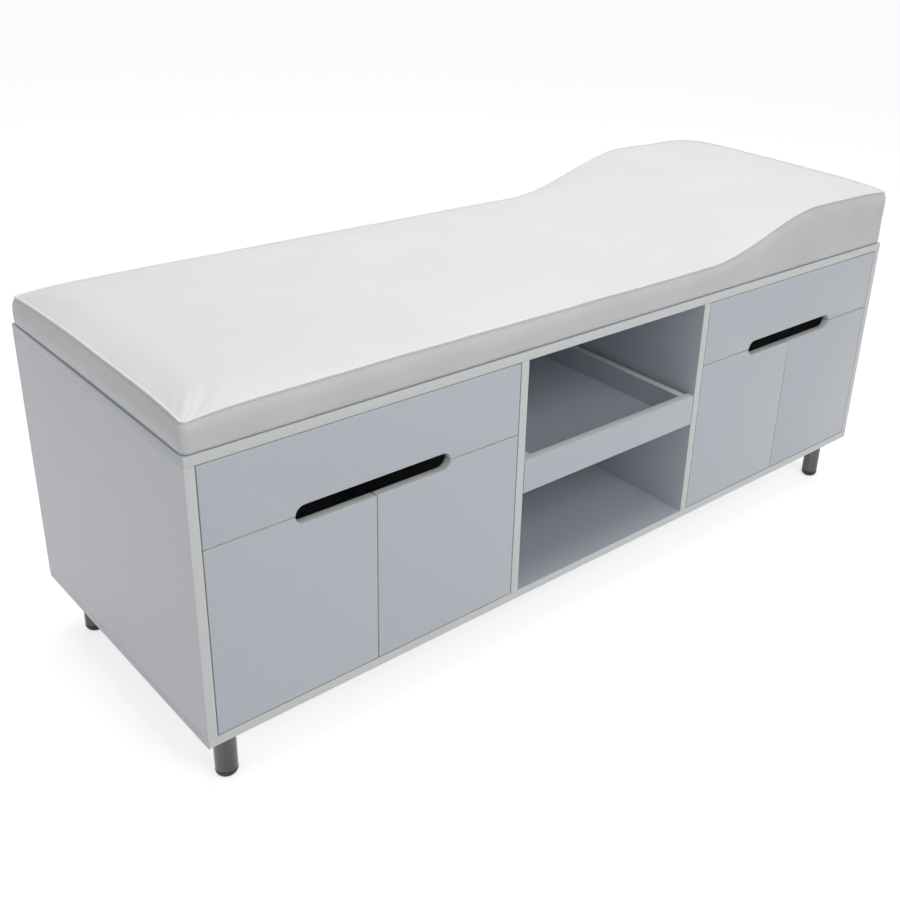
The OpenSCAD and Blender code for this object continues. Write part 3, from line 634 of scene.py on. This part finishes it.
# The top sheet is crowned over the foam, most over the flat part, and comes down to the seam all round
flat_share = 1 - (seam_height(start[:, 0]) - seam_foot_h) / seam_rise_h
crown = crown_least + crown_rise * flat_share
for half, across in ((hx, plan[:, 0]), (hy, plan[:, 1])):
    crown = crown * (1 - np.exp((np.abs(across) - half) / crown_reach))
start[~on_side, 2] += crown[~on_side]

# The seam isn't sewn dead straight: it wavers by about a millimetre
waver = np.array([
    noise.noise(Vector((p[0] * waver_scale, p[1] * waver_scale, waver_level))) for p in start
])
near_seam = np.exp(-np.where(on_side, row_out, from_edge) / seam_reach)
start[:, 2] += waver_depth * waver * near_seam
write_points(pad.data, start)

# The cloth is blown up a little against the seam and the hem, which are held
held = pad.vertex_groups.new(name="held")
seam_points = (~on_side) & (from_edge < in_line)
hem_points = row_of >= len(side_rows) - 1
held.add([int(k) for k in np.flatnonzero(seam_points | hem_points)], 1.0, "REPLACE")
cloth = pad.modifiers.new("swell", "CLOTH")
cloth.settings.quality = 5
cloth.settings.mass = 0.3
cloth.settings.tension_stiffness = 15
cloth.settings.compression_stiffness = 15
cloth.settings.shear_stiffness = 5
cloth.settings.bending_stiffness = 0.5
cloth.settings.use_pressure = True
cloth.settings.uniform_pressure_force = 4
cloth.settings.vertex_group_mass = "held"
cloth.settings.effector_weights.gravity = 0
cloth.collision_settings.use_collision = False
cloth.collision_settings.use_self_collision = False
cloth.point_cache.frame_start = 1
cloth.point_cache.frame_end = swell_frames
for step in range(1, swell_frames + 1):
    bpy.context.scene.frame_set(step)
take(pad)
bpy.ops.object.modifier_apply(modifier="swell")
bpy.context.scene.frame_set(1)
gone = read_points(pad.data) - start
length = np.maximum(np.linalg.norm(gone, axis=1), tiny)
most = np.where(on_side, swell_side, swell_top)
moved = start + gone * (most * np.tanh(length / most) / length)[:, None]

# Leathercloth over foam is never dead flat: faint hollows on top, shallow folds down the side strip
folds = np.where(on_side, fold_side, fold_top)
hollows = soft_noise(moved * np.array([1, 1, 0]), scale=7.0, seed=2.0)
moved[:, 2] += folds * hollows * ~on_side * np.clip(from_edge / fold_reach, 0, 1)
fold_wave = soft_noise(moved * np.array([1, 1, 0.25]), scale=22.0, seed=9.0)
moved[:, :2] += outward * (folds * fold_wave * on_side * np.sin(math.pi * height_share))[:, None]
pucker = soft_noise(moved * np.array([1, 1, 0]), scale=70.0, seed=5.0)
moved[:, 2] += pucker_depth * pucker * near_seam * ~seam_points * ~on_side
write_points(pad.data, moved)

# The seam's own line, in order round the pad, and two masks for the material: nearness to the seam and the
# side strip, both of which carry painted shade
seam_ring = moved[seam_points]
seam_turn = np.argsort(np.arctan2(seam_ring[:, 1] / hy, seam_ring[:, 0] / hx))
seam_ring = seam_ring[seam_turn]
seam_out = outward[seam_points][seam_turn]
near = pad.data.attributes.new("seam_near", "FLOAT", "POINT")
near.data.foreach_set("value", near_seam.astype(np.float32))
# The side strip's mask, which carries its painted shade
painted_shade_strip_attribute = pad.data.attributes.new("side_strip_painted_shade", "FLOAT", "POINT")
painted_shade_strip_attribute.data.foreach_set("value", on_side.astype(np.float32))
pad.vertex_groups.clear()

# The open shell is smoothed, and only then closed underneath by one flat face
finer = pad.modifiers.new("finer", "SUBSURF")
finer.levels = finer.render_levels = 1
take(pad)
bpy.ops.object.modifier_apply(modifier="finer")
bpy.ops.object.mode_set(mode="EDIT")
bpy.ops.mesh.select_all(action="DESELECT")
bpy.ops.mesh.select_non_manifold(extend=False)
bpy.ops.mesh.edge_face_add()
bpy.ops.mesh.select_all(action="SELECT")
bpy.ops.mesh.normals_make_consistent(inside=False)
bpy.ops.object.mode_set(mode="OBJECT")
bpy.ops.object.shade_smooth()

# Leathercloth: a fine pebbled grain under a satin varnish. Its colour carries painted shade: a little greyer
# in the seam, and darker on the side strip than on the top
cloth_white = (0.775, 0.79, 0.80)
cloth_shade = (0.755, 0.77, 0.78)
# Painted shade: the side strip is given a darker colour than the top sheet, for its faces turned from the
# light
strip_white_painted_shade = (0.70, 0.71, 0.72)
strip_tone_painted_shade = (0.65, 0.66, 0.67)
seam_painted_shade_grey = (0.62, 0.62, 0.62)
pebble_depth = 0.00012
leathercloth, tree, shader, where = start_material("leathercloth")
pebble = tree.nodes.new("ShaderNodeTexVoronoi")
pebble.feature = "SMOOTH_F1"
pebble.inputs["Scale"].default_value = 900
tree.links.new(where, pebble.inputs["Vector"])
crease = noise_node(tree, where, scale=240, detail=4, rough=0.6)
tone = noise_node(tree, where, scale=6, detail=3)
wear = noise_node(tree, where, scale=30, detail=4, rough=0.6)
seam_share = tree.nodes.new("ShaderNodeAttribute")
seam_share.attribute_name = "seam_near"
painted_shade_strip_share = tree.nodes.new("ShaderNodeAttribute")
painted_shade_strip_share.attribute_name = "side_strip_painted_shade"
tone_share = spread(tree, tone.outputs["Fac"], (0.35, 0.65), (0.0, 1.0))
top_colour = blend_colour(tree, tone_share, cloth_white, cloth_shade)
strip_colour_painted_shade = blend_colour(tree, tone_share, strip_white_painted_shade, strip_tone_painted_shade)
clean = blend_colour(tree, painted_shade_strip_share.outputs["Fac"], top_colour, strip_colour_painted_shade)
# Painted shade: the cloth is greyed towards the seam, for the groove in shade beside the ridge
seam_painted_shade_share = spread(tree, seam_share.outputs["Fac"], (0.2, 1.0), (0.0, 0.15))
tree.links.new(blend_colour(tree, seam_painted_shade_share, clean, seam_painted_shade_grey), shader.inputs["Base Color"])
tree.links.new(spread(tree, wear.outputs["Fac"], (0.35, 0.7), (0.42, 0.52)), shader.inputs["Roughness"])
shader.inputs["Coat Weight"].default_value = 0.12
shader.inputs["Coat Roughness"].default_value = 0.35
add_bump(
    tree, shader,
    maths(
        tree, "ADD",
        maths(tree, "MULTIPLY", pebble.outputs["Distance"], 0.6),
        maths(tree, "MULTIPLY", crease.outputs["Fac"], 0.5),
    ),
    pebble_depth, strength=0.6,
)
pad.data.materials.append(leathercloth)
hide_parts("pad_cover", "pad_foam")
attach(pad, "cabinet")

# The seam: the two layers' allowance, turned in, which stands as a thin ridge along the upper edge
seam_r = 0.0022
seam_out_by, seam_up_by = 0.0011, 0.0010
# The seam's colours are lighter than the cloth it is sewn from: a painted highlight along the ridge
seam_white_painted_highlight = (0.90, 0.905, 0.90)
seam_tone_painted_highlight = (0.86, 0.865, 0.865)
seam_stitch_depth = 0.0004
line = bpy.data.curves.new("pad_seam", "CURVE")
line.dimensions = "3D"
line.bevel_depth = seam_r
line.bevel_resolution = 2
spline = line.splines.new("POLY")
spline.points.add(len(seam_ring) - 1)
ridge = seam_ring + np.column_stack([seam_out * seam_out_by, np.full(len(seam_ring), seam_up_by)])
spline.points.foreach_set("co", np.column_stack([ridge, np.ones(len(ridge))]).ravel())
spline.use_cyclic_u = True
seam = bpy.data.objects.new("pad_seam", line)
bpy.context.scene.collection.objects.link(seam)
take(seam)
bpy.ops.object.convert(target="MESH")
bpy.ops.object.shade_smooth()
seam_cloth, tree, shader, where = start_material("seam_cloth")
seam_tone = noise_node(tree, where, scale=60, detail=4, rough=0.6)
seam_stitch = noise_node(tree, where, scale=420, detail=2)
seam_dulled = spread(tree, seam_tone.outputs["Fac"], (0.35, 0.65), (0.0, 1.0))
tree.links.new(blend_colour(tree, seam_dulled, seam_white_painted_highlight, seam_tone_painted_highlight), shader.inputs["Base Color"])
tree.links.new(spread(tree, seam_tone.outputs["Fac"], (0.35, 0.7), (0.4, 0.55)), shader.inputs["Roughness"])
add_bump(tree, shader, seam_stitch.outputs["Fac"], seam_stitch_depth)
seam.data.materials.clear()
seam.data.materials.append(seam_cloth)
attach(seam, "cabinet")


# The floor is plain and nearly white. It keeps the bed's own shadow.
floor_size = 60
floor_white = (0.80, 0.80, 0.80, 1)
floor_glow = 0.66


def seen_rays(tree):
    """1 for what the camera sees, straight on, mirrored or through glass, and 0 for light on its way."""
    ray = tree.nodes.new("ShaderNodeLightPath")
    return maths(
        tree, "MAXIMUM",
        maths(tree, "MAXIMUM", ray.outputs["Is Camera Ray"], ray.outputs["Is Glossy Ray"]),
        ray.outputs["Is Transmission Ray"],
    )


bpy.ops.object.select_all(action="DESELECT")
bpy.ops.mesh.primitive_plane_add(size=floor_size, location=(0, 0, 0))
floor = bpy.context.object
floor.name = "floor"
pale, tree, shader, where = start_material("pale_floor")
shader.inputs["Base Color"].default_value = floor_white
shader.inputs["Roughness"].default_value = 0.9
glow = tree.nodes.new("ShaderNodeEmission")
glow.inputs["Strength"].default_value = floor_glow
both = tree.nodes.new("ShaderNodeAddShader")
seen = tree.nodes.new("ShaderNodeMixShader")
tree.links.new(shader.outputs["BSDF"], both.inputs[0])
tree.links.new(glow.outputs["Emission"], both.inputs[1])
tree.links.new(seen_rays(tree), seen.inputs["Fac"])
tree.links.new(shader.outputs["BSDF"], seen.inputs[1])
tree.links.new(both.outputs["Shader"], seen.inputs[2])
tree.links.new(seen.outputs["Shader"], tree.nodes["Material Output"].inputs["Surface"])
floor.data.materials.append(pale)

# The room is white to the camera and in reflections, and a soft even light to all else.
room_light = 0.31
world = bpy.data.worlds.new("room")
bpy.context.scene.world = world
world.use_nodes = True
tree = world.node_tree
room = tree.nodes["Background"]
room.inputs["Color"].default_value = (1, 1, 1, 1)
tree.links.new(spread(tree, seen_rays(tree), (0.0, 1.0), (room_light, 1.0)), room.inputs["Strength"])


def soft_lamp(name, spot, aim, size, watts):
    """A square area lamp at a spot, turned to a point."""
    bpy.ops.object.select_all(action="DESELECT")
    bpy.ops.object.light_add(type="AREA", location=spot)
    lamp = bpy.context.object
    lamp.name = name
    lamp.data.size = size
    lamp.data.energy = watts
    lamp.rotation_euler = (Vector(aim) - Vector(spot)).to_track_quat("-Z", "Y").to_euler()


soft_lamp("lamp_over", spot=(0.2, 0.1, 3.4), aim=(0.1, 0, 0.5), size=2.6, watts=50)
soft_lamp("lamp_front", spot=(-0.2, -3.4, 2.9), aim=(0, 0, 0.4), size=2.0, watts=36)
soft_lamp("lamp_end", spot=(-3.6, -0.8, 2.2), aim=(0, 0, 0.4), size=1.8, watts=7)

bpy.context.scene.view_settings.view_transform = "Standard"
